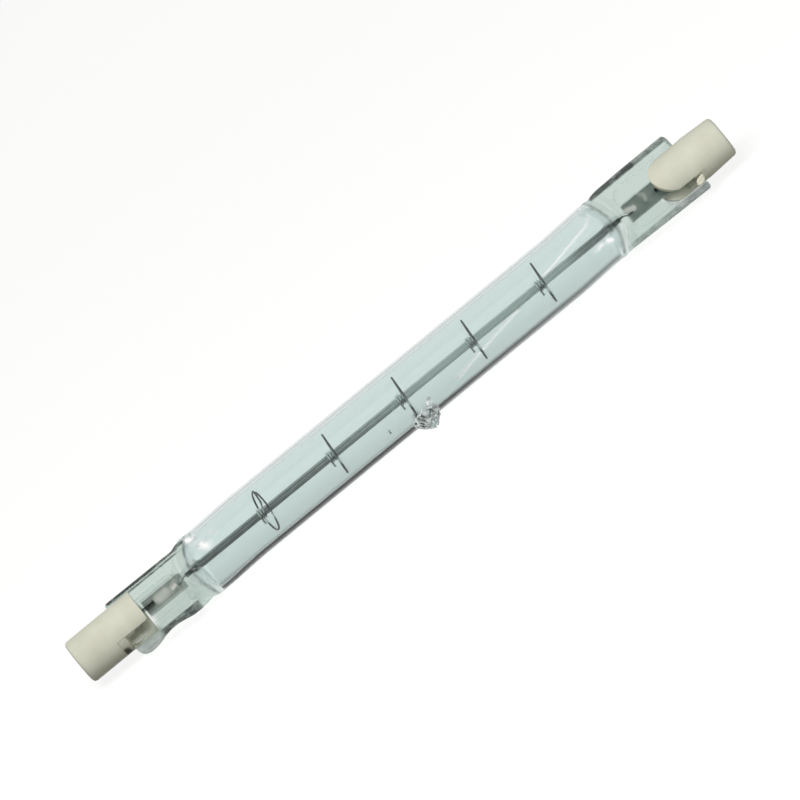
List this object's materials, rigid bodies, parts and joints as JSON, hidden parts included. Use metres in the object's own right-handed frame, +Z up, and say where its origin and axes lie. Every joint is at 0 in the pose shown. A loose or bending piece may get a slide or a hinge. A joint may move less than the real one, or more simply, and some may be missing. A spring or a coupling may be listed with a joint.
{
  "type": "linear halogen bulb",
  "caption": "Slim quartz tube with a long coiled filament on wire ring supports, pinched flat ends with foil seals, and slotted ceramic end caps with recessed contacts.",
  "frame": {"origin": "bottom centre of the lamp's box, on the surface that it lies on", "axes": "+X along the lamp towards its right end, +Z up; the exhaust tip leans down towards -Y"},
  "size_m": [0.1176, 0.0106, 0.01],
  "materials": {
    "quartz": "clear fused quartz, fire polished",
    "tungsten_coil": "drawn tungsten wire, dull",
    "tungsten_wire": "drawn wire, dull",
    "molybdenum_foil": "rolled foil, satin",
    "molybdenum_wire": "drawn wire, darkened",
    "ceramic": "unglazed steatite, matt",
    "nickel_contact": "nickel plated, satin",
    "cement": "lamp cement, grainy"
  },
  "bodies": {
    "root": {"quartz_envelope": "quartz", "filament": "tungsten_coil", "filament_support_1": "tungsten_wire", "filament_support_2": "tungsten_wire", "filament_support_3": "tungsten_wire", "filament_support_4": "tungsten_wire", "filament_support_5": "tungsten_wire", "inner_lead_left": "tungsten_wire", "sealing_foil_left": "molybdenum_foil", "outer_lead_left": "molybdenum_wire", "ceramic_cap_left": "ceramic", "contact_left": "nickel_contact", "cement_left": "cement", "inner_lead_right": "tungsten_wire", "sealing_foil_right": "molybdenum_foil", "outer_lead_right": "molybdenum_wire", "ceramic_cap_right": "ceramic", "contact_right": "nickel_contact", "cement_right": "cement"}
  },
  "joints": []
}
